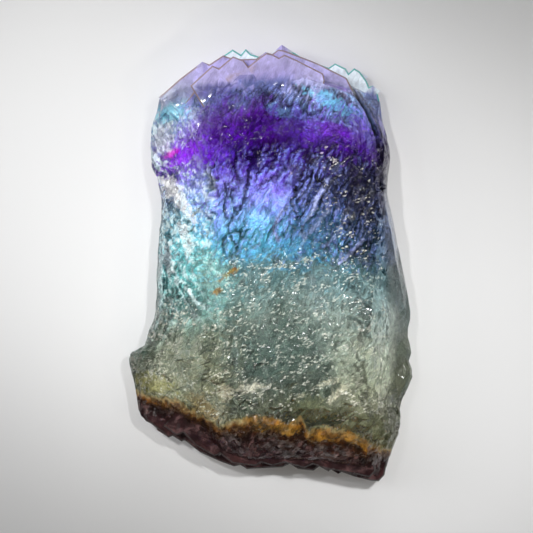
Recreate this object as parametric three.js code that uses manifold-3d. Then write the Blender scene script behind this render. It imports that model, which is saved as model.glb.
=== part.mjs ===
// A broken slab of colour-banded fluorite, lying on its flat back with the fractured front up.
// Octahedral crystals in parallel growth, stacked in plates, end it at the top (+Y) and the foot (-Y).
// Millimetres, +Z up. The origin is under the middle of the slab, on the surface that it lies on.
import * as THREE from "three";
import { mergeVertices } from "three/addons/utils/BufferGeometryUtils.js";
import { ImprovedNoise } from "three/addons/math/ImprovedNoise.js";
import Module from "manifold-3d";

// Driving dimensions
const THICKNESS = 27; // the highest ridge of the broken front, before its facets
const WAIST = 8.5; // height of the widest outline, where front and back meet
const LEAST_FRONT = 11; // the front is nowhere lower than this
const BACK_CHAMFER = 3.2; // how far the back has broken away from the table at its rim
const CHAMFER_START = 0.74; // share of the way out at which the back begins to lift
const FRONT_INSET = 0.055; // share by which the front draws in from the widest outline
const BACK_INSET = 0.085;
const LATTICE_TILT = THREE.MathUtils.degToRad(4); // every crystal leans this much, about Z
const CELLS = [30, 46, 5]; // across, along and through the slab

// The outline without its crystals, seen from the front: four edges that share their corners.
const LEFT_EDGE = [
  [-28.4, -36.3], [-30.3, -33.7], [-31.4, -28.2], [-32.3, -24.1], [-32.6, -21.6], [-31.6, -20.1],
  [-29.1, -18.9], [-28.2, -15.8], [-26.8, -12.6], [-26.4, -7.6], [-26.1, -1.6], [-25.9, 4.1],
  [-25.2, 11.7], [-25.5, 16.7], [-26.2, 20.0], [-27.3, 21.8], [-27.5, 26.8], [-27.3, 31.4],
  [-26.3, 34.6], [-25.7, 37.6],
];
const RIGHT_EDGE = [
  [24.4, -49.6], [26.3, -47.3], [27.4, -43.4], [28.9, -39.7], [29.8, -36.0], [29.6, -33.3],
  [30.7, -30.1], [32.3, -26.8], [32.6, -25.0], [31.7, -22.7], [32.3, -20.2], [31.4, -16.3],
  [32.1, -12.2], [31.7, -8.5], [30.1, -0.7], [28.7, 6.2], [27.5, 11.7], [26.7, 16.3],
  [27.1, 21.8], [27.3, 24.5], [26.7, 28.7], [25.8, 31.9], [25.0, 36.8],
];
const LOWER_EDGE = [
  [-28.4, -36.3], [-24.3, -38.6], [-16.3, -42.5], [-9.4, -45.4], [-1.4, -46.2], [6.7, -46.2],
  [13.5, -47.0], [20.4, -48.5], [24.4, -49.6],
];
const UPPER_EDGE = [
  [-25.7, 37.6], [-22.4, 39.6], [-16.3, 43.0], [-8.9, 45.0], [-1.1, 45.6], [6.7, 44.8],
  [15.8, 41.8], [21.6, 39.2], [25.0, 36.8],
];

// The broken front follows the lowest of these planes. Each has a point that it passes through, and slopes
// along X and Y.
const FRONT_PLANES = [
  { through: [-12.5, 4, THICKNESS], slope: [-0.07, 0.03] }, // broad face
  { through: [-12.5, 4, THICKNESS], slope: [1.02, -0.1] }, // left flank, thin and bright
  { through: [24.5, 4, 23], slope: [-1.75, 0.1] }, // right flank, smooth and set back
  { through: [4, 33, 25], slope: [-0.05, -0.55] }, // shoulder under the crystals
  { through: [17, 35, 21.5], slope: [-1.05, -0.55] }, // upper right corner
  { through: [19.4, 38.2, 17.5], slope: [-2.1, -1.2] }, // smooth flank beside the crown
  { through: [-20, 33, 18], slope: [0.75, -0.75] }, // upper left corner
  { through: [2, -37.5, 24], slope: [0, 1.0] }, // lower rim
  { through: [-22, -30, 18.5], slope: [0.75, 0.85] }, // lower left corner
  { through: [24, -34, 20], slope: [-1.15, 0.45] }, // lower right corner
];

// Lumps and shell-shaped hollows of the front: centre, radii along X and Y, and rise.
const FRONT_LUMPS = [
  { at: [-20, -25], reach: [8, 7], rise: 2.6 },
  { at: [-12, -23], reach: [3, 8], rise: -1.3 },
  { at: [12, -33], reach: [7, 4], rise: -3.2 },
  { at: [3, -18], reach: [8, 6], rise: 1.2 },
  { at: [20, -16], reach: [6, 8], rise: 1.4 },
  { at: [-4, 14], reach: [5, 10], rise: -1.5 },
  { at: [12, 12], reach: [7, 6], rise: 1.1 },
  { at: [-20, 12], reach: [4, 7], rise: -1.2 },
  { at: [-14, -39], reach: [6, 4], rise: 1.4 },
  { at: [14, -42], reach: [7, 3], rise: 1.3 },
];

// Shell-shaped chips out of the flat back, given in the same way, and the depth that each starts from.
const BACK_CHIPS = [
  { at: [-19, 30], reach: [6, 8], rise: 3.4 },
  { at: [21, -34], reach: [7, 6], rise: 3.0 },
  { at: [20, 22], reach: [5, 7], rise: 2.2 },
  { at: [-24, -14], reach: [5, 6], rise: 2.4 },
];
const CHIP_EDGE = 0.5;

// Each use of noise takes a layer of its own, so that no two follow each other.
const LAYER = { ledges: 0, grain: 1, rim: 2, across: 3, along: 4, sides: 5, largeFacets: 8, smallFacets: 9 };

// Flat facets of the front, large and small: size across and rise between neighbouring corners.
const FACETS = [
  { size: 11, rise: 3.4, layer: LAYER.largeFacets },
  { size: 5.2, rise: 2.0, layer: LAYER.smallFacets },
];

// Ledges: the front climbs slowly and drops by LEDGE_DROP, over and over.
const LEDGE_DROP = 1.5;
const LEDGE_WIDTH = 10;
const LEDGE_COURSE = THREE.MathUtils.degToRad(28); // direction across the ledges, from X
const LEDGE_LIP = 0.78; // share of a ledge that climbs
const LEDGE_BEND = { size: 17, shift: 6 };

const GRAIN = { size: 2.6, rise: 0.45 }; // the smallest lumps of the front
const SIDE_LUMPS = { size: 4.5, rise: 1.0 };
const RIM_LUMPS = { size: 9, share: 0.45 }; // how unevenly the rim of the back is chamfered
const SHUFFLE = { steps: [13, 19, 3], share: 0.75 }; // share of a cell by which its corners move
const SHUFFLE_END = 0.9; // share of the way out from which corners stay, to keep the outline

// Plates of crystals in parallel growth, pushed through the slab's ends from one height to another. Their
// outlines climb and fall in the directions of the crystals' faces. The last points of each lie in the slab.
const CROWN_PLATES = [
  {
    from: 2.5, to: 9, // thin pale tips that stand behind the others
    outline: [
      [-24.4, 36.0], [-12.9, 46.2], [-8.8, 49.0], [-6.9, 47.8], [-5.8, 49.1], [-4.6, 47.9], [-2.6, 47.3],
      [0.4, 48.0], [2.5, 50.0], [7.2, 47.1], [13.2, 44.8], [14.7, 45.8], [17.2, 44.6], [17.8, 43.5],
      [19.1, 44.7], [20.4, 43.9], [22.0, 41.7], [22.5, 40.4], [23.4, 40.7], [24.4, 39.5], [25.2, 35.5],
      [20, 28], [-20, 28],
    ],
  },
  {
    from: 7, to: 15,
    outline: [
      [-25.7, 37.8], [-20.7, 42.2], [-15.7, 46.0], [-14.1, 45.4], [-10.9, 47.5], [-8.4, 46.6], [-3.4, 46.7],
      [-1.2, 48.2], [0.3, 47.8], [1.6, 48.8], [3.0, 48.6], [9.3, 46.2], [11.6, 45.2], [17.3, 42.3],
      [19.3, 38.4], [18, 30], [-20, 30],
    ],
  },
  {
    from: 11, to: 19.5, // the plates that look out of the fractured front
    outline: [
      [-18.4, 40.4], [-13.4, 45.0], [-11.9, 44.4], [-8.7, 47.1], [-6.2, 46.2], [-5.2, 44.8], [-2.8, 46.7],
      [-1.1, 47.9], [0.3, 47.6], [1.8, 46.8], [3.1, 47.5], [5.8, 46.3], [11.9, 43.2], [12.3, 41.6],
      [10, 33], [-14, 33],
    ],
  },
];
const FOOT_PLATES = [
  {
    from: 4.5, to: 11,
    outline: [
      [24.7, -50.0], [26.0, -48.6], [26.6, -45.6], [14, -36], [-14, -34], [-26, -32], [-28.8, -35.8],
      [-27.0, -37.2], [-23.5, -40.0], [-22.5, -39.6], [-20.5, -40.9], [-19.8, -40.6], [-16.2, -43.4],
      [-11.8, -45.4], [-8.5, -46.6], [-7.0, -46.3], [-5.5, -47.2], [-1.6, -47.0], [2.6, -46.8], [4.3, -46.0],
      [6.2, -47.2], [9.7, -47.6], [11.1, -46.6], [13.2, -47.8], [13.8, -47.2], [15.4, -48.3], [16.2, -47.9],
      [19.0, -48.9], [23.0, -49.9],
    ],
  },
  {
    from: 9, to: 15.5,
    outline: [
      [22.6, -49.0], [24.0, -47.4], [22, -40], [0, -38], [-22, -34], [-24.6, -37.2], [-21.6, -39.4],
      [-20.0, -38.8], [-17.4, -41.6], [-12.9, -44.2], [-11.6, -43.6], [-8.8, -45.8], [-3.6, -46.4],
      [-2.2, -45.6], [0.4, -46.4], [3.2, -45.6], [7.6, -46.9], [9.6, -46.0], [12.4, -47.0], [17.4, -47.9],
    ],
  },
];
const PLATE_RIM = { in: 0.35, down: 0.6 }; // how far the rim of a plate is worn off

// Octahedral points on the plates: crest X, Y and Z, and half width. Their crests run from back to front.
const CROWN_POINTS = [
  [2.5, 50.0, 6.5, 5.4], [-8.8, 49.0, 6.0, 2.6], [-5.8, 49.1, 6.5, 2.6], [14.7, 45.8, 6.0, 3.0],
  [19.1, 44.7, 6.2, 3.0], [-15.7, 46.0, 9.5, 8.8], [-1.2, 48.2, 12.5, 4.6], [-10.9, 47.5, 12.0, 3.6],
  [9.3, 46.2, 11.5, 4.2], [3.1, 47.5, 15.0, 5.0], [-8.7, 47.1, 15.5, 4.4], [-13.4, 45.0, 15.8, 3.6],
  [23.3, 40.6, 8.2, 1.8], [-20.9, 42.0, 10.0, 2.8], [6.0, 47.6, 7.0, 2.8], [11.4, 43.2, 14.0, 3.2],
];
const FOOT_POINTS = [
  [-23.4, -40.0, 8.0, 2.8], [-20.5, -40.9, 9.0, 2.2], [-5.5, -47.2, 8.5, 3.0], [9.7, -47.6, 8.5, 3.2],
  [15.4, -48.3, 9.5, 2.6], [-8.8, -45.8, 13.0, 2.8], [12.4, -47.0, 13.0, 2.6], [0.4, -46.4, 13.0, 2.8],
  [-17.2, -41.8, 12.5, 2.4], [20.2, -49.2, 9.0, 3.2],
];

const WELD = 1e-4; // distance under which vertices are one
const LAYER_STEP = [11.4, 5.7, 2.85]; // how far apart two layers are cut from the same noise

const wasm = await Module();
wasm.setup();

const perlin = new ImprovedNoise();
const { degToRad, euclideanModulo, lerp, smoothstep } = THREE.MathUtils;
const TRIANGLE_HEIGHT = Math.sin(degToRad(60)); // of a triangle whose sides are 1

// Smooth random value from about -1 to 1, whose lumps are size across.
function noise(layer, size, x, y, z = 0) {
  const apart = LAYER_STEP.map((step) => step * (layer + 1));
  return perlin.noise(x / size + apart[0], y / size + apart[1], z / size + apart[2]);
}

const edgeCurve = (points) => new THREE.SplineCurve(points.map(([x, y]) => new THREE.Vector2(x, y)));
const edges = {
  left: edgeCurve(LEFT_EDGE),
  right: edgeCurve(RIGHT_EDGE),
  lower: edgeCurve(LOWER_EDGE),
  upper: edgeCurve(UPPER_EDGE),
};
const corners = {
  lowerLeft: edges.lower.getPointAt(0),
  lowerRight: edges.lower.getPointAt(1),
  upperLeft: edges.upper.getPointAt(0),
  upperRight: edges.upper.getPointAt(1),
};

// The point of the outline's area at (s, t), each 0 to 1: a patch stretched between the four edges.
function spread(s, t) {
  const across = edges.lower.getPointAt(s).multiplyScalar(1 - t)
    .addScaledVector(edges.upper.getPointAt(s), t);
  const along = edges.left.getPointAt(t).multiplyScalar(1 - s)
    .addScaledVector(edges.right.getPointAt(t), s);
  return across.add(along)
    .addScaledVector(corners.lowerLeft, -(1 - s) * (1 - t))
    .addScaledVector(corners.lowerRight, -s * (1 - t))
    .addScaledVector(corners.upperLeft, -(1 - s) * t)
    .addScaledVector(corners.upperRight, -s * t);
}

const planeHeight = ({ through, slope }, x, y) =>
  through[2] + slope[0] * (x - through[0]) + slope[1] * (y - through[1]);

// Sum of bell-shaped rises at (x, y).
function lumpHeight(lumps, x, y) {
  return lumps.reduce((sum, { at, reach, rise }) => {
    const away = ((x - at[0]) / reach[0]) ** 2 + ((y - at[1]) / reach[1]) ** 2;
    return sum + rise * Math.exp(-away);
  }, 0);
}

// Flat triangles that meet in straight creases: a lattice of them, with a random height at each corner.
// The corners are kept off whole numbers, where this noise is zero.
function facetHeight({ size, rise, layer }, x, y) {
  const row = y / (size * TRIANGLE_HEIGHT);
  const column = x / size - row / 2;
  const i = Math.floor(column);
  const j = Math.floor(row);
  const a = column - i;
  const b = row - j;
  const corner = (di, dj) => noise(layer, Math.SQRT2, i + di, j + dj);
  const near = a + b < 1 ? corner(0, 0) : corner(1, 1);
  const share = a + b < 1 ? 1 - a - b : a + b - 1;
  const toRight = a + b < 1 ? a : 1 - b;
  const toUpper = a + b < 1 ? b : 1 - a;
  return rise * (share * near + toRight * corner(1, 0) + toUpper * corner(0, 1));
}

// A slow climb and a short drop, over and over, along a line that noise bends.
function ledgeHeight(x, y) {
  const bend = LEDGE_BEND.shift * noise(LAYER.ledges, LEDGE_BEND.size, x, y);
  const course = x * Math.cos(LEDGE_COURSE) + y * Math.sin(LEDGE_COURSE) + bend;
  const along = euclideanModulo(course / LEDGE_WIDTH, 1);
  const climbed = along < LEDGE_LIP ? along / LEDGE_LIP : (1 - along) / (1 - LEDGE_LIP);
  return LEDGE_DROP * (climbed - 1 / 2);
}

function frontHeight(x, y) {
  const planes = Math.min(...FRONT_PLANES.map((plane) => planeHeight(plane, x, y)));
  const facets = FACETS.reduce((sum, facet) => sum + facetHeight(facet, x, y), 0);
  const grain = GRAIN.rise * noise(LAYER.grain, GRAIN.size, x, y);
  const height = planes + lumpHeight(FRONT_LUMPS, x, y) + ledgeHeight(x, y) + facets + grain;
  return Math.max(height, LEAST_FRONT);
}

// Zero over the flat face that the slab lies on, and more towards the rim and in the chips.
function backHeight(x, y, rim) {
  const chamfer = BACK_CHAMFER * smoothstep(rim, CHAMFER_START, 1);
  const uneven = 1 + RIM_LUMPS.share * noise(LAYER.rim, RIM_LUMPS.size, x, y);
  const chips = Math.max(0, lumpHeight(BACK_CHIPS, x, y) - CHIP_EDGE);
  return chamfer * uneven + chips;
}

// Share of a cell by which one corner of the cell grid moves, so that no two facets are alike.
function shuffle(layer, u, v, w) {
  const [across, along, through] = SHUFFLE.steps;
  return SHUFFLE.share * noise(layer, 1, u * across, v * along, w * through);
}

// Moves one corner of the cell grid, whose u, v and w run from -1 to 1, to its place on the slab.
function place(u, v, w) {
  const rim = Math.max(Math.abs(u), Math.abs(v));
  const free = 1 - smoothstep(rim, SHUFFLE_END, 1);
  const inset = 1 - (w > 0 ? FRONT_INSET : BACK_INSET) * w * w;
  const across = u + free * shuffle(LAYER.across, u, v, w) * 2 / CELLS[0];
  const along = v + free * shuffle(LAYER.along, u, v, w) * 2 / CELLS[1];
  const at = spread((1 + across * inset) / 2, (1 + along * inset) / 2);
  const limit = w > 0 ? frontHeight(at.x, at.y) : backHeight(at.x, at.y, rim);
  const height = lerp(WAIST, limit, Math.abs(w));
  if (Math.abs(w) < 1) {
    const bulge = SIDE_LUMPS.rise * noise(LAYER.sides, SIDE_LUMPS.size, at.x, at.y, height) * Math.abs(w);
    at.x += bulge * u;
    at.y += bulge * v;
  }
  return new THREE.Vector3(at.x, at.y, height);
}

// The slab without crystals: a box of many cells, bent to the outline and its front and back.
function slabGeometry() {
  const box = new THREE.BoxGeometry(2, 2, 2, ...CELLS);
  const positions = box.getAttribute("position");
  for (let i = 0; i < positions.count; i++) {
    const moved = place(positions.getX(i), positions.getY(i), positions.getZ(i));
    positions.setXYZ(i, moved.x, moved.y, moved.z);
  }
  return box;
}

// A closed three.js geometry as a manifold-3d solid.
function solidOf(geometry) {
  const bare = geometry.clone();
  bare.deleteAttribute("normal");
  bare.deleteAttribute("uv");
  const merged = mergeVertices(bare, WELD);
  const mesh = new wasm.Mesh({
    numProp: 3,
    vertProperties: new Float32Array(merged.getAttribute("position").array),
    triVerts: new Uint32Array(merged.index.array),
  });
  return new wasm.Manifold(mesh);
}

// A manifold-3d solid as a three.js geometry with flat faces.
function geometryOf(solid) {
  const mesh = solid.getMesh();
  const geometry = new THREE.BufferGeometry();
  geometry.setAttribute("position", new THREE.BufferAttribute(mesh.vertProperties, 3));
  geometry.setIndex(new THREE.BufferAttribute(mesh.triVerts, 1));
  const flat = geometry.toNonIndexed();
  flat.computeVertexNormals();
  return flat;
}

// One octahedral crystal. side is 1 where its crest points to +Y and -1 where it points to -Y.
function crystalGeometry(x, y, z, halfWidth, side) {
  const crystal = new THREE.OctahedronGeometry(halfWidth);
  const toCrest = halfWidth * Math.SQRT1_2;
  crystal.rotateX(Math.PI / 4);
  crystal.translate(0, -side * toCrest, 0);
  crystal.rotateZ(LATTICE_TILT);
  crystal.translate(x, y, z);
  return crystal;
}

const pointGeometries = (points, side) =>
  points.map(([x, y, z, halfWidth]) => crystalGeometry(x, y, z, halfWidth, side));

// One plate, with the rims of its two faces worn off.
function plateGeometry({ from, to, outline }) {
  const shape = new THREE.Shape(outline.map(([x, y]) => new THREE.Vector2(x, y)));
  const plate = new THREE.ExtrudeGeometry(shape, {
    depth: to - from - 2 * PLATE_RIM.down,
    bevelThickness: PLATE_RIM.down,
    bevelSize: PLATE_RIM.in,
    bevelOffset: -PLATE_RIM.in,
    bevelSegments: 1,
  });
  plate.translate(0, 0, from + PLATE_RIM.down);
  return plate;
}

function specimenGeometry() {
  const crystals = [
    ...[...CROWN_PLATES, ...FOOT_PLATES].map(plateGeometry),
    ...pointGeometries(CROWN_POINTS, 1),
    ...pointGeometries(FOOT_POINTS, -1),
  ];
  const grown = crystals.reduce(
    (solid, crystal) => solid.add(solidOf(crystal)),
    solidOf(slabGeometry()),
  );
  return geometryOf(grown);
}

const fluorite = new THREE.Mesh(
  specimenGeometry(),
  new THREE.MeshStandardMaterial({ color: 0x6f8fae, roughness: 0.3, metalness: 0, flatShading: true }),
);
fluorite.name = "fluorite";

const specimen = new THREE.Group();
specimen.add(fluorite);

export default specimen;
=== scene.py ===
# Rough fluorite slab, lying on its flat back under soft studio light, seen from straight above.
import math

import bmesh
import bpy
from mathutils import Matrix, Vector, kdtree, noise


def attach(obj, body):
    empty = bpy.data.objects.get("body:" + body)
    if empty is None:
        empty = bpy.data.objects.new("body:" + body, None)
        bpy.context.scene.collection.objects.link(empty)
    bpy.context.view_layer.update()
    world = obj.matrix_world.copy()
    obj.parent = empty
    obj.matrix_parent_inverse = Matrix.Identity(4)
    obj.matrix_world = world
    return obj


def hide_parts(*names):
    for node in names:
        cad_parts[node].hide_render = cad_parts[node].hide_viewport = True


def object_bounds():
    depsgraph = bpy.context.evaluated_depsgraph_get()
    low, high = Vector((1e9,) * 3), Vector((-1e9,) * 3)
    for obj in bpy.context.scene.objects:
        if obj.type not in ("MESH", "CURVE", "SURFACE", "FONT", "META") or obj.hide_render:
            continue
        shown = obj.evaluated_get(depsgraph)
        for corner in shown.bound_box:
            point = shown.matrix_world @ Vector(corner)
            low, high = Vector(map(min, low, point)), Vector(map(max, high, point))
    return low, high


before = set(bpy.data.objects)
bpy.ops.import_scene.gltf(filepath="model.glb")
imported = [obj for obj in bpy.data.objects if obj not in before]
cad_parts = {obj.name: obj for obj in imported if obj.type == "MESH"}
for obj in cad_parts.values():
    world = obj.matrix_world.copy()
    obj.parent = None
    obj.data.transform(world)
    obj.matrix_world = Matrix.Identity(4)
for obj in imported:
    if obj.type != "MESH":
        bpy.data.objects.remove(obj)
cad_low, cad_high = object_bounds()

MM = 0.001

# The photograph's frame: how wide it is at the stone's widest outline, and what its middle looks at.
VIEW_WIDTH = 122.3 * MM
VIEW_CENTRE = Vector((-1.03, -0.80)) * MM
OUTLINE_HEIGHT = 8.5 * MM
CAMERA_DISTANCE = 1.6
SENSOR_WIDTH = 36.0

# Crystals and the plates that they grew in, in mm
LATTICE_TILT = math.radians(4)
FACE_TOLERANCE = math.cos(math.radians(0.6))
CROWN_FROM = 37.0
FOOT_TO = -35.0
PLATE_TOPS = (9.0, 15.0, 19.5, 11.0, 15.5)
RIM_DOWN = 0.6  # height of a plate's worn rim
HEIGHT_SLACK = 0.01  # by which a corner may miss the height of a plate's top
LEVEL_ABOVE = 1.0  # level faces above this are tops of plates and not the flat back

# Upward parts of the crystals' normals: of level, upright and worn faces
LEVEL_FROM = 0.9999
UPRIGHT_TO = 0.002
WORN_FROM, WORN_TO = 0.3, 0.8

# Fine surface
FRONT_CUTS = 6
SIDE_CUTS = 1
LONGEST_EDGE = 1.7  # mm, of the crystals' faces
SPLIT_ROUNDS = 6
FRONT_FROM = 0.12  # least upward part of a normal that counts as the front
BACK_TO = -0.95  # upward part of a normal below which a face is the flat back
MERGE_DISTANCE = 1e-6  # m
ON_CRYSTAL = 1e-3  # mm from a crystal's corner that still counts as on it
CALM_REACH = 1.8  # mm from a crystal within which the broken surface calms down
REST_HEIGHT = 0.02  # mm, below which the surface is the flat back
RELIEF_FROM = 2.0  # mm above the table from which the relief has its full height
CRACK_DROP = 0.7  # mm, depth of a full crack
SIDE_SHIFT = 0.6  # mm that the relief's pattern moves sideways per mm of height on upright faces
SIDE_RELIEF = 0.35  # least share of the relief's height, on overhanging faces

# The colour bands are arches, highest at x = ARCH_MIDDLE, in mm. To both sides they fall by ARCH_BEND
# times the square of the distance.
ARCH_MIDDLE = 4.0
ARCH_BEND = 0.009

# Joints between shards, as crease takes them: size, stretch, lean, seed and width
WINDING_JOINTS = (3.0, 2.8, -0.4, 3.3, 0.15)
FINE_JOINTS = (1.3, 3.4, -0.45, 8.1, 0.2)
COMB_JOINTS = (1.1, 6.0, -0.48, 12.4, 0.3)
SLANTED_JOINTS = (2.2, 2.8, 0.7, 15.7, 0.2)
JOINT_BEND = 0.22  # share of a shard by which its joints bend
JOINT_BEND_SIZE = 1.3  # mm from one bend to the next
OPEN_ACROSS, OPEN_ALONG = 3.1, 4.5  # mm, size of the places where joints are open
JOINT_CORE = 1.6  # strength in the middle of a joint, before it is capped at 1

# How steep the scales of each size are
LARGE_TILT, MEDIUM_TILT, FINE_TILT = 0.2475, 0.306, 0.195

# Smooth places of the front, and a low swelling: centre and reach, in mm
SCOOP_DENT = ((10.4, -33.4), (5.5, 3.6))
SCOOP_FACE = ((9.8, -33.4), (5.5, 3.4))
SWELLING = ((-12, -22), (5.5, 12))
SWELLING_HEIGHT = 1.6

# Wobbles of the edges of cracks and streaks: height and size in mm, and seed
WOBBLES = ((0.35, 0.9, 2.2), (0.3, 0.4, 6.2))

# Where a streak's painted shadow and the painted highlight on a crack's lip lie from it, in mm
SHADOW_SHIFT = (0.8, -0.3)
LIP_HIGHLIGHT_SHIFT = (0.5, -0.35)
SECOND_FISSURE = (1.4, -0.6)

# The fissure that sets the smooth upper right flank apart, in mm. Its dark colour is painted shade.
FISSURE = [(17.6, 42.0), (18.8, 39.7), (19.9, 37.9), (21.8, 35.0), (23.2, 32.1), (24.1, 29.4)]

# The widest of the winding cracks, and the bright streaks right of them, partly lilac and partly painted
# highlight of ridges: half width in mm, and course
CRACKS = [
    (0.45, [(-4.8, 22.0), (-5.3, 18.1), (-6.0, 15.4), (-6.7, 12.6), (-8.5, 10.3), (-10.3, 8.3)]),
    (0.35, [(-10.3, 18.1), (-9.9, 15.4), (-10.6, 12.2), (-10.1, 9.9), (-9.4, 6.2), (-7.6, 3.0)]),
    (0.55, [(-7.8, 25.0), (-8.0, 21.3), (-7.3, 18.6)]),
    (0.35, [(-3.9, 25.5), (-3.0, 23.2), (-4.4, 20.9), (-4.8, 19.0)]),
    (0.40, [(-0.7, 22.7), (-2.5, 20.9), (-3.4, 20.0)]),
    (0.35, [(1.6, 20.9), (-0.2, 19.0), (-3.0, 17.2)]),
    (0.35, [(-14.9, 23.2), (-15.4, 20.9), (-14.0, 18.6), (-12.6, 19.0)]),
    (0.50, [(0.7, 8.5), (-0.7, 5.7), (-1.8, 3.0)]),
    (0.40, [(5.5, 17.0), (4.6, 13.5), (6.0, 10.5), (5.0, 7.5)]),
    (0.40, [(17.5, 19.5), (15.0, 15.0), (14.2, 11.0), (12.4, 7.0)]),
    (0.35, [(22.0, 14.0), (19.5, 9.5), (18.6, 5.5)]),
]
STREAKS = [
    (0.60, [(13.3, 19.0), (10.3, 14.5), (9.9, 12.2), (8.0, 9.4), (6.7, 6.2)]),
    (0.60, [(13.1, 12.2), (10.3, 8.5), (8.0, 6.2), (6.7, 3.4)]),
    (0.45, [(17.2, 10.5), (15.1, 6.5), (12.5, 4.0)]),
    (0.45, [(21.0, 5.5), (17.5, 1.5), (15.5, 0.0)]),
    (0.45, [(2.5, 12.0), (0.5, 8.0), (1.5, 5.0)]),
]


def smoothstep(low, high, value):
    share = min(1.0, max(0.0, (value - low) / (high - low)))
    return share * share * (3 - 2 * share)


def band(low, high, soft, value):
    """1 between low and high, fading to 0 over soft on both sides."""
    return smoothstep(low - soft, low, value) * (1 - smoothstep(high, high + soft, value))


def pool(x, y, centre, reach):
    """1 at the centre of an ellipse, fading to 0 at its edge."""
    away = math.hypot((x - centre[0]) / reach[0], (y - centre[1]) / reach[1])
    return 1 - smoothstep(0.6, 1.0, away)


def arch(x, y):
    """Height along the arched colour bands, in mm. It is y in the middle and more towards both sides."""
    return y + ARCH_BEND * (x - ARCH_MIDDLE) ** 2


def facets(x, y, size, stretch, lean, seed):
    """Flat, tilted scales about size across: height in units of their tilt."""
    across = x + lean * y
    point = Vector((across / size, y / (size * stretch), seed))
    _, cells = noise.voronoi(point)
    tilt = noise.noise_vector(cells[0] * 7.3)
    away = point - cells[0]
    return size * (tilt.x * away.x + tilt.y * away.y * stretch)


def crease(x, y, size, stretch, lean, seed, width):
    """1 on some of the joints between angular shards, falling to 0 at width from them."""
    bend = JOINT_BEND * noise.noise_vector(Vector((x / JOINT_BEND_SIZE, y / JOINT_BEND_SIZE, seed + 4)))
    point = Vector(((x + lean * y) / size, y / (size * stretch), seed)) + bend
    away, _ = noise.voronoi(point)
    open_joint = smoothstep(-0.12, 0.12, noise.noise(Vector((x / OPEN_ACROSS, y / OPEN_ALONG, seed + 9))))
    return open_joint * min(1.0, max(0.0, JOINT_CORE - JOINT_CORE * (away[1] - away[0]) / width))


def path_distance(x, y, path):
    """Distance in mm from (x, y) to the nearest point of a path."""
    nearest = math.inf
    for (ax, ay), (bx, by) in zip(path, path[1:]):
        dx, dy = bx - ax, by - ay
        share = min(1.0, max(0.0, ((x - ax) * dx + (y - ay) * dy) / (dx * dx + dy * dy)))
        nearest = min(nearest, math.hypot(x - ax - share * dx, y - ay - share * dy))
    return nearest


def right_flank(x, y):
    """1 on the smooth face that is set back along the right side."""
    edge = 26.6 + 0.035 * (10 - y)
    return smoothstep(edge - 1.2, edge + 0.3, x) * band(-30, 16, 2, y)


def upper_flank(x, y):
    """1 on the smooth face beside the upper right crystals."""
    edge = 18.6 + (41 - y) * 0.56
    return smoothstep(edge - 0.6, edge + 0.6, x) * smoothstep(27, 30, y)


def calm(x, y):
    """Share of the full roughness that the surface has at (x, y)."""
    flanks = (1 - 0.85 * right_flank(x, y)) * (1 - 0.8 * upper_flank(x, y))
    scoop = 1 - 0.9 * pool(x, y, *SCOOP_DENT)
    crown = 1 - 0.6 * smoothstep(37.5, 42.5, arch(x, y))
    return flanks * scoop * crown


def nearest_path(x, y, paths):
    """1 on the nearest of several paths, falling to 0 a little beyond its half width."""
    strength = 0.0
    for half_width, path in paths:
        xs, ys = zip(*path)
        if min(xs) - 2 < x < max(xs) + 2 and min(ys) - 2 < y < max(ys) + 2:
            away = path_distance(x, y, path)
            for height, size, seed in WOBBLES:
                away += height * noise.noise(Vector((x / size, y / size, seed)))
            strength = max(strength, 1 - smoothstep(0.4 * half_width, 1.15 * half_width, away))
    return strength


def crack_depth(x, y):
    """Depth of the cracks and of the fissure, 0 to 1. The same value darkens their colour as painted shade.
    """
    level = arch(x, y)
    middle = band(5, 26, 4, level) * band(-14, 22, 3, x)
    hackle = band(34, 40, 1.5, level) * (0.3 + 0.7 * band(0, 20, 4, x)) + 0.25 * band(22, 28, 2, level)
    left = band(-8, 38, 4, level) * band(-30, -13, 2, x)
    winding = crease(x, y, *WINDING_JOINTS)
    fine = crease(x, y, *FINE_JOINTS)
    comb = crease(x, y, *COMB_JOINTS)
    slanted = crease(x, y, *SLANTED_JOINTS)
    return max(
        nearest_path(x, y, CRACKS),
        middle * max(winding, 0.75 * fine),
        0.9 * hackle * comb,
        0.3 * left * slanted,
        1 - smoothstep(0.15, 0.55, path_distance(x, y, FISSURE)),
    )


def relief(x, y):
    """Height of the broken surface above the plain one, in mm."""
    upper = smoothstep(-2, 8, arch(x, y))
    lean = -0.45 * upper if x > 6 else 0.0
    large = facets(x, y, size=5.2, stretch=1.2 + 0.6 * upper, lean=lean, seed=1.7)
    medium = facets(x, y, size=1.9, stretch=1.0 + 0.9 * upper, lean=lean, seed=5.1)
    fine = facets(x, y, size=0.85, stretch=1.0 + 0.5 * upper, lean=0, seed=9.4)
    rough = LARGE_TILT * large + MEDIUM_TILT * medium + FINE_TILT * fine
    return calm(x, y) * rough + SWELLING_HEIGHT * pool(x, y, *SWELLING)


def octahedron_normals():
    """The normals of the crystals' eight faces."""
    turn = Matrix.Rotation(LATTICE_TILT, 3, "Z")
    short, long = math.sqrt(1 / 3), math.sqrt(2 / 3)
    normals = []
    for side in (-1, 1):
        for end in (-1, 1):
            normals.append(turn @ Vector((side * short, end * long, 0)))
            normals.append(turn @ Vector((side * short, 0, end * long)))
    return normals


def rgb(text):
    """A linear colour from its usual six-digit name."""
    def channel(pair):
        share = int(pair, 16) / 255
        return share / 12.92 if share <= 0.04045 else ((share + 0.055) / 1.055) ** 2.4
    return Vector(channel(text[i:i + 2]) for i in (0, 2, 4))


def bands(*stops):
    return [(place, rgb(colour)) for place, colour in stops]


def band_colour(stops, value):
    """Colour at value along bands, whose places rise."""
    if value <= stops[0][0]:
        return stops[0][1]
    for (low, a), (high, b) in zip(stops, stops[1:]):
        if value <= high:
            return a.lerp(b, (value - low) / (high - low))
    return stops[-1][1]


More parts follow.
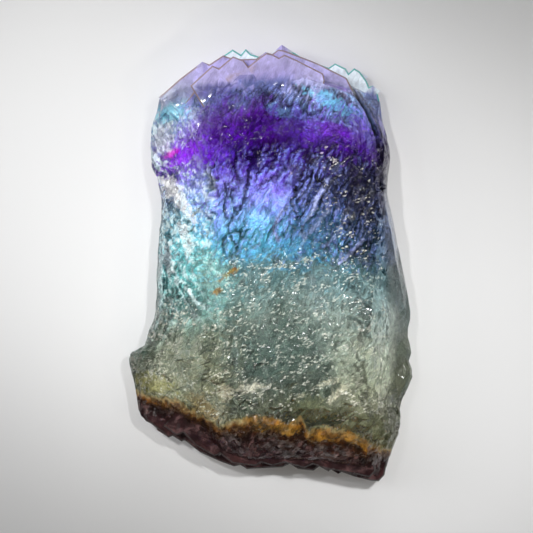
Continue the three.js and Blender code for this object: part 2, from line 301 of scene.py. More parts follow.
# Colours along the arched bands, from the lower end to the upper, at heights in mm
MIDDLE_BANDS = bands(
    (-38, "626650"), (-33, "5c624e"), (-29, "50584c"), (-24, "525f56"), (-18, "5c6e66"), (-12, "76867c"),
    (-6, "6c8682"), (0, "587e82"), (4, "4c90a0"), (8, "5eb8cc"), (12, "86baf4"), (16, "9caaff"),
    (18.5, "8e78e8"), (21.5, "5426b0"), (24.5, "340684"), (28, "2a005c"), (31.5, "3a0070"), (34, "5c1e9c"),
    (36.3, "644a9c"), (38.3, "6c78b0"), (40.5, "7c84c4"), (42.5, "a8a0dc"), (45, "ccc4f4"), (50, "d8d0fa"),
)
LEFT_BANDS = bands(
    (-33, "7c7860"), (-25, "8c8c6c"), (-19, "90947c"), (-13, "86907c"), (-8, "8ab0a2"), (-2, "84d0c8"),
    (3, "80e6e2"), (8, "84e4ea"), (14, "98e6f8"), (19, "bce4ff"), (23, "b0b4ff"), (27, "9c4cff"),
    (31, "8c38ec"), (34.5, "b4a4ff"), (38, "acdcff"), (43, "d0d8ff"), (50, "ecebff"),
)
# The right course is darker: partly the stone's own colour, partly painted shade of its thicker right side.
RIGHT_BANDS_AND_SHADE = bands(
    (-44, "706a48"), (-37, "727252"), (-33, "787a5e"), (-27, "8e927a"), (-20, "a8b29c"), (-13, "a4b2a6"),
    (-5, "7e9a9a"), (1, "3e6468"), (6, "305662"), (11, "284260"), (16, "181e3c"), (20, "16142e"),
    (23.5, "1c0640"), (27, "2e0462"), (30.5, "50149c"), (33.5, "8c88ea"), (36.5, "98c8fa"), (39, "bcc0f8"),
    (41, "ccc8fc"), (50, "dce4fc"),
)

# Patches of colour: centre, reach, climb of the long axis, colour, strength. Most are the stone's own colour;
# the notes below tell which are painted light or shade.
PATCHES = [
    # White patches on the left flank: painted glare of the light that comes up through its thin edge.
    ((-22.0, 16.0), (3.8, 3.4), -0.9, "ffffff", 1.0),
    ((-19.2, 12.0), (2.8, 2.4), -1.0, "ffffff", 1.0),
    ((-19.5, 5.5), (2.0, 4.0), -1.6, "f8ffff", 0.9),
    ((-23.5, 1.0), (1.8, 4.5), -1.4, "f8ffff", 0.8),
    ((-24.8, 29.0), (2.6, 4.6), 0.6, "f0f4ff", 0.85),
    ((-22.5, 34.5), (5.0, 2.4), 0.2, "8ce4f8", 0.8),
    ((-14.0, 25.5), (5.0, 3.4), 0.2, "7020d0", 0.6),
    ((13.5, 30.5), (5.5, 2.4), -0.3, "8c34e0", 0.65),
    ((12.0, 43.5), (9.0, 3.0), -0.3, "dcd2fa", 0.5),
    ((-20.0, 24.8), (4.4, 2.4), 0.5, "980cf4", 0.9),
    ((-22.8, 25.0), (1.9, 1.3), 0.7, "ff28e8", 0.85),
    ((-13.5, -3.0), (4.0, 7.0), 0.0, "b0e4d8", 0.45),
    ((-24.3, 0.5), (1.6, 3.0), 0.0, "285064", 0.7),
    ((14.5, 36.6), (7.5, 1.8), -0.45, "84d8ff", 0.85),
    ((3.0, 34.5), (6.0, 1.6), -0.2, "7cb0e4", 0.4),
    ((3.5, 3.5), (9.0, 2.4), 0.1, "62c4ec", 0.5),
    # Near-black patch on the right: partly the stone's navy, partly painted shade of its thicker right side.
    ((19.5, 16.5), (8.0, 7.5), 0.0, "14162e", 0.75),
    ((9.0, 7.0), (8.0, 6.0), 0.3, "2c5c74", 0.5),
    ((-14.0, 39.4), (5.5, 2.4), 0.3, "6664a0", 0.8),
    # Near-black patches at the right edge: partly the stone's dark purple, partly painted shade.
    ((26.5, 20.5), (3.2, 10.0), 0.0, "120c26", 0.85),
    ((25.0, 28.0), (1.8, 6.0), 0.0, "1a1030", 0.85),
    ((1.0, -21.0), (5.5, 7.0), 0.3, "4a6258", 0.55),
    ((9.5, -33.2), (6.0, 3.6), -0.2, "747858", 0.85),
    ((21.0, -22.0), (6.5, 7.5), 0.3, "b0b29a", 0.35),
    ((-25.0, -17.5), (6.0, 8.0), 0.3, "a4a890", 0.4),
    ((-27.0, -27.4), (5.5, 2.6), -0.2, "a8a04c", 0.8),
    ((-15.5, -33.2), (3.8, 3.2), -0.6, "ac8444", 0.6),
    # Cream patches near the lower end and on the right: painted glints.
    ((-10.6, -29.6), (1.7, 2.1), 0.0, "dcd4b8", 0.9),
    ((-5.0, -28.5), (3.4, 1.1), 0.2, "e6e2cc", 0.9),
    ((15.2, -29.6), (3.0, 1.2), 0.9, "e6e0c4", 0.9),
    ((13.5, -27.0), (3.0, 0.8), 0.3, "e6e0c4", 0.8),
    ((6.7, -30.3), (1.0, 0.8), 0.0, "e6e0c4", 0.8),
    ((25.2, -16.8), (2.4, 0.25), 0.0, "f0ecd8", 0.9),
    ((-9.4, -2.3), (2.2, 0.9), 0.6, "b8741a", 0.9),
    ((-11.8, -6.3), (1.7, 0.8), 0.3, "b07420", 0.9),
    ((-4.8, 44.0), (1.2, 0.9), 0.8, "c0a068", 0.8),
    ((-8.8, 42.5), (2.8, 0.6), 0.5, "b89c70", 0.7),
]
PATCHES = [(*patch[:3], rgb(patch[3]), patch[4]) for patch in PATCHES]

# Course of the rust line along the lower end, in mm, and the colours above and below it
RUST_LINE = [
    (-33, -28.6), (-28, -30.6), (-22, -31.2), (-17, -34.0), (-12, -37.4), (-8, -36.0), (-2.5, -35.1),
    (0.9, -35.6), (3.9, -37.2), (7.1, -35.3), (8.4, -38.4), (11.9, -37.6), (16.5, -38.3), (21.1, -40.4),
    (25, -42.5), (33, -44),
]
RUST_BANDS = bands(
    (-13, "543634"), (-9, "482c2c"), (-6, "3a2022"), (-3.2, "2a1610"), (-1.8, "40220e"), (-0.9, "7c5022"),
    (-0.3, "a08454"), (0.7, "88845c"),
)
WINE, GOLD = rgb("80605f"), rgb("b87c24")
UPPER_FLANK = bands((27, "3a2c64"), (33, "7880cc"), (40, "c0ccff"))
LOWER_FLANK = bands((-32, "9c9c80"), (-12, "9ca89c"), (12, "646c84"))
WHITE = Vector((1, 1, 1))
STREAK_LILAC, STREAK_CYAN, STREAK_TEAL = rgb("94a4f0"), rgb("64d0f4"), rgb("247c8c")
GLARE_CYAN = rgb("eafeff")
DEEP_GREEN = rgb("46584e")
TIP_PALE, TIP_TEAL, PLATE_LILAC, STAIN, FOOT_STAIN = (
    rgb("f2ffff"), rgb("18b4ac"), rgb("ccc0f8"), rgb("9c8070"), rgb("241816"))


def wave(x, y, z, size, length, lean=0.0, seed=0.0, octaves=3):
    """Uneven value, mostly from -0.5 to 0.5, in lumps size wide and length long that lean from Y by lean."""
    place = Vector(((x - lean * y) / size, y / length, z / size + seed))
    return 0.55 * noise.fractal(place, 0.9, 2.0, octaves)


def rust_height(x):
    for (left, a), (right, b) in zip(RUST_LINE, RUST_LINE[1:]):
        if x <= right:
            return a + (b - a) * max(0.0, x - left) / (right - left)
    return RUST_LINE[-1][1]


def chance(x, y, z, sizes, lean, seed):
    """A random value from -1 to 1 for each angular shard, which is sizes mm large."""
    _, cells = noise.voronoi(Vector(((x - lean * y) / sizes[0], y / sizes[1], z / sizes[2])))
    return noise.cell(cells[0] * seed + Vector((0.5, 0.5, 0.5)))


def band_mix(x, y, z, broken):
    """Colour of the three courses of bands, whose shards are shifted along them and carry painted shade of
    their own, and the share of the left one.
    """
    wander = wave(x, y, z, size=9, length=9, octaves=2)
    fray = wave(x, y, z, size=1.2, length=5.0, lean=0.1, seed=7)
    # Painted shade: each shard, large and small, is made lighter or darker; the large ones also shift the
    # bands.
    jump_and_shade = broken * chance(x, y, z, sizes=(5.0, 8.0, 8.0), lean=0.3, seed=31.7)
    small_shard_shade = broken * chance(x, y, z, sizes=(1.7, 2.8, 3.0), lean=0.4, seed=23.1)
    level = arch(x, y) + 2.5 * wander + 3.2 * fray + 1.5 * jump_and_shade
    across = x + 2.0 * wander + 1.6 * fray
    ridge = -13.4 - 6.0 * smoothstep(18, 25, y) + 2.2 * smoothstep(4, -4, y)
    soft = 6.0 * smoothstep(18, 26, y) + 5.0 * smoothstep(-2, -12, y)
    left = 1 - smoothstep(ridge - 0.5 - 0.5 * soft, ridge + 0.4 + soft, across)
    start = 3.5 + 9.5 * smoothstep(-5, -18, y)
    right = smoothstep(start - 0.5 * soft, start + 4.5 + 0.5 * soft, across + 2.0 * jump_and_shade)
    colour = band_colour(MIDDLE_BANDS, level).lerp(band_colour(LEFT_BANDS, level), left)
    # The right course of bands carries painted shade of the thicker right side.
    return colour.lerp(band_colour(RIGHT_BANDS_AND_SHADE, level), right) * (1 + 0.2 * jump_and_shade + 0.2 * small_shard_shade), left


def sheeted(colour, x, y, z, flank, falling):
    """The colour with the left flank's bright sheets of painted glare and its dark teal gaps, and how strong
    the glare is.
    """
    sheets = wave(x, y, z, size=1.7, length=5.5, lean=-0.9, seed=71)
    # Painted glare: white-cyan sheets on the left flank.
    glare = flank * max(smoothstep(0.12, 0.2, falling), smoothstep(0.1, 0.14, sheets))
    glare *= 0.4 + 0.6 * smoothstep(1, 8, z)
    colour = colour.lerp(GLARE_CYAN, 0.9 * glare)
    dim = flank * (1 - 0.9 * smoothstep(20, 27, y))
    colour = colour.lerp(colour * 0.2 + STREAK_TEAL * 0.3, 0.9 * dim * smoothstep(0.0, 0.14, -falling))
    colour = colour.lerp(colour * 0.3 + STREAK_TEAL * 0.2, 0.8 * dim * smoothstep(0.08, 0.13, -sheets))
    return colour, glare


def hackled(colour, x, y, z, rising):
    """The colour with the fine dark lines above the purple band."""
    hackle = band(33, 40, 2, arch(x, y)) * band(-10, 20, 4, x)
    hairs = wave(x, y, z, size=0.5, length=4.2, lean=0.45, seed=21, octaves=2)
    colour = colour * (1 - 0.6 * hackle * smoothstep(0.02, 0.2, rising))
    return colour * (1 - 0.55 * hackle * smoothstep(0.06, 0.12, hairs))


def streaked(colour, x, y, z, left, crack):
    """The colour with the streaks of each region and the cracks, with the painted highlight, shadow and shade
    that they carry, and how dull they make it.
    """
    level = arch(x, y)
    flank = left * band(-6, 40, 5, level)
    falling = wave(x, y, z, size=0.9, length=3.2, lean=-0.8, seed=3)
    rising = wave(x, y, z, size=0.8, length=3.4, lean=0.45, seed=11)
    colour, glare = sheeted(colour, x, y, z, flank, falling)
    right = band(2, 21, 3, x) * band(1, 22, 3, level)
    colour = colour.lerp(STREAK_LILAC, 0.7 * right * smoothstep(0.14, 0.26, rising))
    tips = band(-12, 18, 2, x) * band(1, 8, 3, level)
    colour = colour.lerp(STREAK_CYAN, 0.6 * tips * smoothstep(0.1, 0.25, falling))
    # Bright streaks: partly lilac colour, partly painted highlight of ridges, with a painted shadow beside
    # each.
    streak = nearest_path(x, y, STREAKS)
    shadow = nearest_path(x - SHADOW_SHIFT[0], y - SHADOW_SHIFT[1], STREAKS)
    colour = colour * (1 - 0.6 * max(0.0, shadow - streak))
    colour = colour.lerp(STREAK_LILAC.lerp(WHITE, 0.25), 0.95 * streak)
    colour = hackled(colour, x, y, z, rising)
    # Painted highlight on the lip beside each crack.
    lip_highlight = crack_depth(x - LIP_HIGHLIGHT_SHIFT[0], y - LIP_HIGHLIGHT_SHIFT[1])
    lip_highlight = max(band(2, 25, 3, level), flank) * max(0.0, lip_highlight - crack)
    colour = colour.lerp(STREAK_LILAC.lerp(WHITE, 0.6 * left), 0.7 * lip_highlight)
    # Painted shade: the cracks are darkened.
    return colour * (1 - 0.85 * crack), max(crack, streak, 0.7 * glare)


def footed(colour, x, y, z):
    """The colour with the rust line and the dark foot under it, and the foot's share."""
    above = y - rust_height(x) + 1.3 * wave(x, y, z, size=1.0, length=1.5, seed=19, octaves=4)
    foot = 1 - smoothstep(0.2, 1.2, above)
    thick = 0.5 + wave(x, y, 0, size=5, length=5, seed=51) + 0.5 * band(-5, 20, 4, x)
    if above < 0:
        above /= max(0.45, thick + 0.35)
    dark = band_colour(RUST_BANDS, above)
    gold = smoothstep(-0.2, 0.25, wave(x, y, z, size=3.0, length=2.0, seed=57))
    gold *= band(-4.5, 21, 2.5, x) * band(-1.5, 0.4, 0.6, above)
    dark = dark.lerp(GOLD, 0.8 * gold)
    wine = smoothstep(0.0, 0.2, wave(x, y, z, size=1.8, length=2.6, lean=0.4, seed=17))
    wine *= smoothstep(2.5, 4.0, -above)
    mottling = 1 + 1.4 * wave(x, y, z, size=2.0, length=3.0, lean=-0.4, seed=81, octaves=2)
    return colour.lerp(dark.lerp(WINE, 0.7 * wine) * mottling, foot), foot


def patched(colour, x, y, z):
    """The colour with its patches, whose edges are ragged."""
    ragged = wave(x, y, z, size=1.0, length=1.0, seed=43)
    for centre, reach, slope, patch, strength in PATCHES:
        dx = x - centre[0]
        dy = y - centre[1] - slope * dx
        away = math.hypot(dx / reach[0], dy / reach[1])
        if away < 1.5:
            colour = colour.lerp(patch, strength * (1 - smoothstep(0.6, 1.0, away + 1.1 * ragged)))
    return colour


def fissure_line(x, y, z):
    """1 on the fissure and on a thinner one beside it, and 0 beyond them or low on the stone."""
    if x <= 15 or y <= 27:
        return 0.0
    second = path_distance(x - SECOND_FISSURE[0], y - SECOND_FISSURE[1], FISSURE)
    near = min(path_distance(x, y, FISSURE), 0.2 + second)
    return smoothstep(6, 12, z) * (1 - smoothstep(0.25, 0.65, near))


def shares(x, y, z, broken, left, foot, dull):
    """Shares of painted glints, of fine pattern and of clearness at a place."""
    plain = max(upper_flank(x, y), right_flank(x, y), pool(x, y, *SCOOP_FACE))
    # Painted glints fall on the lower part and, fewer, on the right, in patches; not on the left flank, the
    # foot or the smooth faces.
    patchy = smoothstep(-0.2, 0.25, wave(x, y, z, size=3.2, length=2.6, seed=29))
    zone = max(band(-33, 0, 4, y), 0.45 * band(12, 40, 3, x) * band(-30, 26, 3, y))
    zone *= (1 - left * smoothstep(-12, -6, y)) * (1 - foot) * (1 - plain)
    rough = (0.02 + 0.98 * broken) * (1 - 0.85 * plain) * (1 - 0.85 * smoothstep(38, 42, arch(x, y)))
    rough *= 1 - 0.4 * left * band(-4, 34, 4, y)
    clear = (1 - 0.5 * foot) * (1 - 0.7 * smoothstep(37, 43, y)) * (1 - 0.85 * dull)
    return zone * patchy, max(rough, 0.2 * foot), clear


def painted(x, y, z, skin, crack):
    """Colour at a place in mm, and its shares of painted glints, of fine pattern and of clearness."""
    skin *= max(smoothstep(41.0, 44.0, y + 0.004 * x * x), smoothstep(-30, -36, y))
    broken = 1 - skin
    colour, left = band_mix(x, y, z, broken)
    colour, dull = streaked(colour, x, y, z, left * broken, crack)
    deep = smoothstep(0.0, 0.25, wave(x, y, z, size=4.0, length=6.0, lean=0.2, seed=37))
    deep *= band(-33, 0, 4, y)
    colour = colour.lerp(DEEP_GREEN, 0.6 * deep * (1 - 0.7 * smoothstep(10, 17, x)))
    colour = patched(colour, x, y, z)
    # Painted shade darkens the cracks on the upper flank too.
    colour = colour.lerp(band_colour(UPPER_FLANK, y) * (1 - 0.7 * crack), 0.85 * upper_flank(x, y))
    colour = colour.lerp(band_colour(LOWER_FLANK, y), 0.75 * right_flank(x, y))
    fissure_shade = fissure_line(x, y, z)
    dull = max(dull, fissure_shade)
    # Painted shade: the fissure and the thinner line beside it are darkened.
    colour, foot = footed(colour * (1 - 0.85 * fissure_shade), x, y, z)
    if skin and y > 0:
        tip = smoothstep(3.0, 8.0, z) * (1 - smoothstep(9.1, 9.6, z))
        dull = max(dull, 0.8 * tip)
        colour = colour.lerp(PLATE_LILAC, 0.6 * skin).lerp(TIP_PALE, 0.85 * tip)
        colour = colour * (1 + 0.5 * wave(x, y, z, size=1.6, length=2.4, lean=0.3, seed=63))
    return colour, *shares(x, y, z, broken, left, foot, dull)


def mark_crystals(bm, skin, rim):
    """Sets skin to 1 on the flat faces of crystals and plates, and rim to 1 on the plates' worn rims."""
    normals = octahedron_normals()
    for face in bm.faces:
        if FOOT_TO < face.calc_center_median().y / MM < CROWN_FROM:
            continue
        heights = [v.co.z / MM for v in face.verts]
        level = abs(face.normal.z) > LEVEL_FROM and min(heights) > LEVEL_ABOVE
        upright = abs(face.normal.z) < UPRIGHT_TO
        worn = WORN_FROM < face.normal.z < WORN_TO and any(
            max(heights) < top + HEIGHT_SLACK and min(heights) > top - RIM_DOWN - HEIGHT_SLACK
            for top in PLATE_TOPS
        )
        grown = any(face.normal.dot(normal) > FACE_TOLERANCE for normal in normals)
        if level or upright or worn or grown:
            face[skin] = 1
        if worn:
            face[rim] = 1


def split_long_edges(bm, skin):
    """Cuts the crystals' flat faces into small ones, so that colour can change across them."""
    for _ in range(SPLIT_ROUNDS):
        edges = {e for f in bm.faces if f[skin] for e in f.edges if e.calc_length() > LONGEST_EDGE * MM}
        if not edges:
            break
        bmesh.ops.subdivide_edges(bm, edges=list(edges), cuts=1)
        bmesh.ops.triangulate(bm, faces=[f for f in bm.faces if len(f.verts) > 3])


def finer_copy(node):
    """A copy of the stone with small faces, smallest on the front, and its layer that marks the crystals."""
    bm = bmesh.new()
    bm.from_mesh(node.data)
    bmesh.ops.remove_doubles(bm, verts=bm.verts, dist=MERGE_DISTANCE)
    bm.normal_update()
    skin = bm.faces.layers.float.new("skin")
    rim = bm.faces.layers.float.new("rim")
    mark_crystals(bm, skin, rim)

    fine, coarse = set(), set()
    for face in bm.faces:
        if face[skin] or face.normal.z < BACK_TO:
            continue
        (fine if face.normal.z > FRONT_FROM else coarse).update(face.edges)
    coarse -= fine
    bmesh.ops.subdivide_edges(bm, edges=list(fine), cuts=FRONT_CUTS, use_grid_fill=True)
    bmesh.ops.subdivide_edges(bm, edges=[e for e in coarse if e.is_valid], cuts=SIDE_CUTS, use_grid_fill=True)
    bmesh.ops.triangulate(bm, faces=[f for f in bm.faces if len(f.verts) > 3])
    split_long_edges(bm, skin)
    bm.normal_update()
    return bm, skin


def crystal_corners(bm, skin):
    """A search tree of the corners of the crystals' faces."""
    corners = [v for v in bm.verts if any(f[skin] for f in v.link_faces)]
    tree = kdtree.KDTree(len(corners))
    for i, v in enumerate(corners):
        tree.insert(v.co, i)
    tree.balance()
    return tree


def stone_mesh(node):
    """The stone's visible mesh: its broken surface in relief, its crystals flat, and its colours."""
    bm, skin = finer_copy(node)
    tree = crystal_corners(bm, skin)
    tint = bm.verts.layers.float_color.new("tint")
    # share of painted glints: cream flecks that stand for light caught on small faces
    painted_glints = bm.verts.layers.float.new("painted_glints")
    pattern = bm.verts.layers.float.new("pattern")
    clear = bm.verts.layers.float.new("clear")
    for v in bm.verts:
        x, y, z = v.co / MM
        distance = tree.find(v.co)[2] / MM
        grown = distance < ON_CRYSTAL
        ease = smoothstep(0, CALM_REACH, distance)
        up = smoothstep(-0.2, 0.5, v.normal.z)
        crack = crack_depth(x, y) * ease * up
        colour, v[painted_glints], v[pattern], v[clear] = painted(x, y, z, 1.0 if grown else 0.0, crack)
        v[tint] = (*colour, 1.0)
        if grown or z < REST_HEIGHT:
            continue
        low = smoothstep(0, RELIEF_FROM, z)
        shift = SIDE_SHIFT * z
        height = relief(x + shift * v.normal.x, y + shift * v.normal.y) * ease - CRACK_DROP * crack
        move = v.normal * (height * (SIDE_RELIEF + (1 - SIDE_RELIEF) * up) * low * MM)
        v.co = Vector(max(lo, min(hi, c)) for c, lo, hi in zip(v.co + move, cad_low, cad_high))

    for face in bm.faces:
        face.smooth = not face[skin]
    mesh = bpy.data.meshes.new("fluorite_crystal")
    bm.to_mesh(mesh)
    bm.free()
    return mesh


class Nodes:
    """Makes shader nodes in few words. Values that are nodes' outputs are linked, others are set."""

    def __init__(self, material):
        material.use_nodes = True
        self.tree = material.node_tree
        self.tree.nodes.clear()

    def node(self, kind, inputs=(), **settings):
        node = self.tree.nodes.new(kind)
        for name, value in settings.items():
            setattr(node, name, value)
        for name, value in dict(inputs).items():
            if isinstance(value, bpy.types.NodeSocket):
                self.tree.links.new(value, node.inputs[name])
            else:
                node.inputs[name].default_value = value
        return node

    def add(self, kind, inputs=(), output=0, **settings):
        return self.node(kind, inputs, **settings).outputs[output]

    def position(self):
        """Place on the object in mm, as three values."""
        place = self.add("ShaderNodeTexCoord", output="Object")
        mm = self.vector("SCALE", {0: place, "Scale": 1 / MM})
        return self.node("ShaderNodeSeparateXYZ", {0: mm}).outputs

    def attribute(self, name):
        return self.add("ShaderNodeAttribute", output="Fac", attribute_name=name)

    def math(self, operation, a, b=0.0, c=0.0):
        return self.add("ShaderNodeMath", {0: a, 1: b, 2: c}, operation=operation)

    def vector(self, operation, inputs, output=0):
        return self.add("ShaderNodeVectorMath", inputs, output, operation=operation)

    def linear(self, value, factor, start):
        """value times factor, plus start."""
        return self.math("MULTIPLY_ADD", value, factor, start)

    def times(self, a, *others):
        for other in others:
            a = self.math("MULTIPLY", a, other)
        return a

    def between(self, value, low, high):
        """0 at low, 1 at high, eased at both."""
        return self.add(
            "ShaderNodeMapRange", {0: value, 1: low, 2: high}, interpolation_type="SMOOTHSTEP")

    def stretched(self, x, y, z, size, length, lean, seed):
        """Coordinates of a pattern that is size mm across and length mm along, leaning by lean from Y."""
        across = self.linear(y, -lean, x)
        deep = self.linear(z, 1 / size, seed)
        return self.add(
            "ShaderNodeCombineXYZ",
            {0: self.times(across, 1 / size), 1: self.times(y, 1 / length), 2: deep},
        )

    def noise(self, vector, detail, roughness):
        """-0.5 to 0.5, in lumps about one unit across."""
        value = self.add(
            "ShaderNodeTexNoise", {"Vector": vector, "Scale": 1.0, "Detail": detail, "Roughness": roughness})
        return self.math("SUBTRACT", value, 0.5)

    def cells(self, vector):
        """A random value from 0 to 1 for each cell, and the height of the cell's tilted face."""
        cell = self.node("ShaderNodeTexVoronoi", {"Vector": vector, "Scale": 1.0})
        tilt = self.vector("SUBTRACT", {0: cell.outputs["Color"], 1: (0.5, 0.5, 0.5)})
        away = self.vector("SUBTRACT", {0: vector, 1: cell.outputs["Position"]})
        value = self.add("ShaderNodeSeparateColor", {0: cell.outputs["Color"]}, output=2)
        return value, self.vector("DOT_PRODUCT", {0: tilt, 1: away}, output="Value")

    def mix(self, factor, a, b, blend="MIX"):
        return self.add(
            "ShaderNodeMix", {0: factor, 6: a, 7: b}, output=2, data_type="RGBA", blend_type=blend)

    def shade(self, colour, factor):
        """The colour times a plain factor."""
        grey = self.add("ShaderNodeCombineColor", {0: factor, 1: factor, 2: factor})
        return self.mix(1.0, colour, grey, "MULTIPLY")


# The stone's finish: the contrast of the painted shade of its small faces, of its grain and of both where the
# pattern is calm
FACE_SHADE_CONTRAST, GRAIN_CONTRAST, CALM_CONTRAST = 0.9, 1.8, 0.3
# Painted glints: cream flecks in the colour that stand for light caught on small faces
PAINTED_GLINT_RAGGED = 1.4
PAINTED_GLINT_CHANCE = 0.28
PAINTED_GLINT_FROM, PAINTED_GLINT_FULL = 1.0, 1.06
PAINTED_GLINT_COLOUR = rgb("f4f0e0")
TIP_TO, STAIN_FROM = 8.9, 9.3  # mm, heights of the rims that are teal and brown
FOOT_BELOW, CROWN_ABOVE = 0, 20  # mm, places along the stone of the foot's and the crown's stains
RIM_STAIN, RIM_VEIL = 0.8, 0.7
LEAST_CLEAR, CLEAR_RANGE = 0.05, 0.72
BUMP_STRENGTH, BUMP_HEIGHT = 0.85, 0.6 * MM
POLISH = 0.14
FLUORITE_IOR = 1.434
SPECULAR_LEVEL = 0.25
DEPTH_COLOUR, DEPTH_DENSITY = rgb("dfe6f4"), 12.0


def opaque(colour):
    return (*colour, 1.0)


def stone_colour(n, x, y, z, pattern, grain, face):
    """The painted colour with the painted shade of its small faces, its grain, its painted glints and the
    stain of its rims.
    """
    # Painted shade: each small face is made lighter or darker at random, and the grain adds its own tone.
    shade = n.linear(n.math("SUBTRACT", face, 0.5), FACE_SHADE_CONTRAST, 1.0)
    shade = n.linear(grain, GRAIN_CONTRAST, shade)
    contrast = n.linear(pattern, 1 - CALM_CONTRAST, CALM_CONTRAST)
    shade = n.linear(n.math("SUBTRACT", shade, 1.0), contrast, 1.0)
    colour = n.shade(n.add("ShaderNodeAttribute", attribute_name="tint"), shade)
    # Painted glints: cream flecks where their share is high
    ragged = n.linear(grain, PAINTED_GLINT_RAGGED, x)
    painted_glint, _ = n.cells(n.stretched(ragged, y, z, size=0.5, length=0.42, lean=0.8, seed=23))
    painted_glint = n.linear(n.attribute("painted_glints"), PAINTED_GLINT_CHANCE, painted_glint)
    colour = n.mix(n.between(painted_glint, PAINTED_GLINT_FROM, PAINTED_GLINT_FULL), colour, opaque(PAINTED_GLINT_COLOUR))
    stain = n.mix(n.between(z, STAIN_FROM, TIP_TO), opaque(STAIN), opaque(TIP_TEAL))
    stain = n.mix(n.between(y, CROWN_ABOVE, FOOT_BELOW), stain, opaque(FOOT_STAIN))
    return n.mix(n.times(n.attribute("rim"), RIM_STAIN), colour, stain)


def stone_material():
    material = bpy.data.materials.new("banded_fluorite")
    n = Nodes(material)
    x, y, z = n.position()
    pattern = n.attribute("pattern")
    face, face_height = n.cells(n.stretched(x, y, z, size=0.9, length=1.4, lean=0.25, seed=5))
    grain = n.noise(n.stretched(x, y, z, size=0.4, length=1.0, lean=0.4, seed=8), detail=2.0, roughness=0.7)

    clear = n.linear(n.attribute("clear"), CLEAR_RANGE, LEAST_CLEAR)
    clear = n.times(clear, n.linear(n.attribute("rim"), -RIM_VEIL, 1.0))
    bump = n.add(
        "ShaderNodeBump",
        {"Strength": BUMP_STRENGTH, "Distance": BUMP_HEIGHT, "Height": n.times(face_height, pattern)},
        output="Normal",
    )
    shader = n.add(
        "ShaderNodeBsdfPrincipled",
        {
            "Base Color": stone_colour(n, x, y, z, pattern, grain, face),
            "Roughness": POLISH,
            "IOR": FLUORITE_IOR,
            "Transmission Weight": clear,
            "Specular IOR Level": SPECULAR_LEVEL,
            "Normal": bump,
        },
    )
    depth = {"Color": opaque(DEPTH_COLOUR), "Density": DEPTH_DENSITY}
    absorption = n.add("ShaderNodeVolumeAbsorption", depth)
    n.node("ShaderNodeOutputMaterial", {"Surface": shader, "Volume": absorption})
    return material


def make_stone():
    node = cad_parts["fluorite"]
    stone = bpy.data.objects.new("fluorite_crystal", stone_mesh(node))
    bpy.context.scene.collection.objects.link(stone)
    stone.data.materials.append(stone_material())
    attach(stone, "root")
    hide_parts("fluorite")


# The floor, in m, and the edges of its glow, each from dark to full, in mm
FLOOR_REACH, FLOOR_DOWN = 8.0, -0.3 * MM
FLOOR_TONE, FLOOR_ROUGHNESS = 0.82, 0.9
GLOW_LEFT, GLOW_RIGHT = (-22, -13), (23, 15)
GLOW_TOP, GLOW_FOOT = (46, 36), (-38, -30)
GLOW_WIDER = (-16, -22)
FLANK_ACROSS, FLANK_ALONG = (-11.0, -23.0), (-12.0, 0.0)
UPPER_ALONG = (-6.0, 10.0)
LOW_GLOW, UPPER_GLOW, FLANK_GLOW = 1.1, 0.4, 1.9


def floor_glow(n):
    """Strength of the floor's own light, which is none beyond the stone."""
    x, y, _ = n.position()
    slanted = n.linear(y, 0.08, x)
    arched = n.linear(n.math("POWER", x, 2.0), 0.012, y)
    tilted = n.linear(x, 0.25, y)
    wider = n.linear(n.between(y, *GLOW_WIDER), 5.0, x)
    glow = n.times(
        n.between(wider, *GLOW_LEFT),
        n.between(slanted, *GLOW_RIGHT),
        n.between(arched, *GLOW_TOP),
        n.between(tilted, *GLOW_FOOT),
    )
    flank = n.times(n.between(x, *FLANK_ACROSS), n.between(y, *FLANK_ALONG))
    strength = n.linear(n.between(y, *UPPER_ALONG), UPPER_GLOW, LOW_GLOW)
    return n.times(glow, n.linear(flank, FLANK_GLOW, strength))


def make_floor():
    """A plain pale table. It glows under the stone, most on the left, so that light comes up through it."""
    mesh = bpy.data.meshes.new("floor")
    sides = [(-1, -1), (1, -1), (1, 1), (-1, 1)]
    corners = [(x * FLOOR_REACH, y * FLOOR_REACH, FLOOR_DOWN) for x, y in sides]
    mesh.from_pydata(corners, [], [(0, 1, 2, 3)])
    floor = bpy.data.objects.new("floor", mesh)
    bpy.context.scene.collection.objects.link(floor)
    material = bpy.data.materials.new("lit_floor")
    n = Nodes(material)
    shader = n.add(
        "ShaderNodeBsdfPrincipled",
        {
            "Base Color": (FLOOR_TONE, FLOOR_TONE, FLOOR_TONE, 1.0),
            "Roughness": FLOOR_ROUGHNESS,
            "Emission Color": opaque(WHITE),
            "Emission Strength": floor_glow(n),
        },
    )
    n.node("ShaderNodeOutputMaterial", {"Surface": shader})
    mesh.materials.append(material)


# Lights: sizes in m, powers in W
SOFTBOX_SIZE = 0.7
GLINT_SIZE, GLINT_POWER = 0.03, 0.4
WHITE_LIGHT, WARM_LIGHT, COOL_LIGHT = (1.0, 1.0, 1.0), (1.0, 0.93, 0.78), (0.92, 0.97, 1.0)
POOL_SPREAD = math.radians(8)
POOL_SOFTNESS, POOL_POWER = 0.035, 40.0
ROOM_COLOUR, ROOM_STRENGTH = (0.94, 0.95, 1.0, 1.0), 0.12


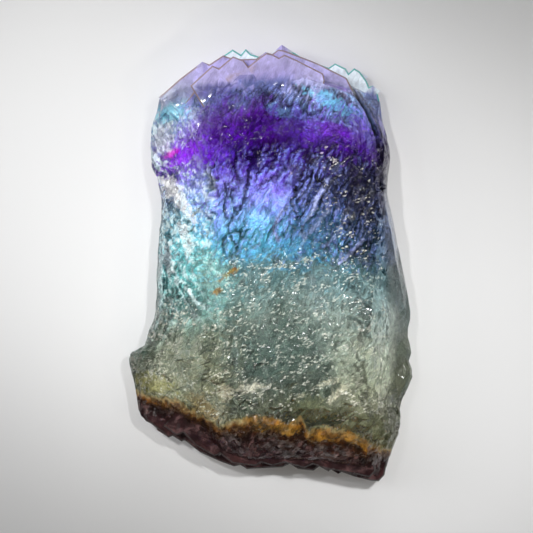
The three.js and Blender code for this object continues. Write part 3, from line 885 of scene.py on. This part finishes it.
def aim(light, place, target=(0, 0, OUTLINE_HEIGHT)):
    """Puts a light at place and turns it to target."""
    light.location = place
    light.rotation_mode = "QUATERNION"
    light.rotation_quaternion = (Vector(target) - Vector(place)).to_track_quat("-Z", "Y")
    bpy.context.scene.collection.objects.link(light)


def area_light(name, place, size, power, colour=WHITE_LIGHT):
    data = bpy.data.lights.new(name, "AREA")
    data.size = size
    data.energy = power
    data.color = colour
    aim(bpy.data.objects.new(name, data), place)


def pool_light(name, place, target):
    """A soft round pool of light on the table."""
    data = bpy.data.lights.new(name, "SPOT")
    data.spot_size = POOL_SPREAD
    data.spot_blend = 1.0
    data.shadow_soft_size = POOL_SOFTNESS
    data.energy = POOL_POWER
    aim(bpy.data.objects.new(name, data), place, target)


def make_lights():
    area_light("softbox_left", (-0.95, 0.25, 0.75), SOFTBOX_SIZE, power=3.8)
    area_light("softbox_top", (0.25, 1.0, 0.7), SOFTBOX_SIZE, power=1.6)
    area_light("glint_right", (0.5, -0.2, 0.8), GLINT_SIZE, GLINT_POWER, WARM_LIGHT)
    area_light("glint_low", (0.1, -0.5, 0.8), GLINT_SIZE, GLINT_POWER, WARM_LIGHT)
    area_light("glint_left", (-0.42, 0.1, 0.85), GLINT_SIZE, GLINT_POWER, COOL_LIGHT)

    pool_light("pool_upper_left", place=(-0.26, 0.2, 1.18), target=(-0.040, 0.018, 0))
    pool_light("pool_lower_right", place=(0.26, 0.2, 1.18), target=(0.040, -0.016, 0))

    world = bpy.data.worlds.new("studio")
    world.use_nodes = True
    background = world.node_tree.nodes["Background"]
    background.inputs["Color"].default_value = ROOM_COLOUR
    background.inputs["Strength"].default_value = ROOM_STRENGTH
    bpy.context.scene.world = world


def make_camera():
    data = bpy.data.cameras.new("camera")
    data.sensor_width = SENSOR_WIDTH
    data.lens = SENSOR_WIDTH * CAMERA_DISTANCE / VIEW_WIDTH
    data.clip_start, data.clip_end = 0.1, 10.0
    camera = bpy.data.objects.new("camera", data)
    camera.location = (*VIEW_CENTRE, OUTLINE_HEIGHT + CAMERA_DISTANCE)
    bpy.context.scene.collection.objects.link(camera)
    bpy.context.scene.camera = camera


make_stone()
make_floor()
make_lights()
make_camera()
bpy.context.scene.view_settings.view_transform = "Standard"
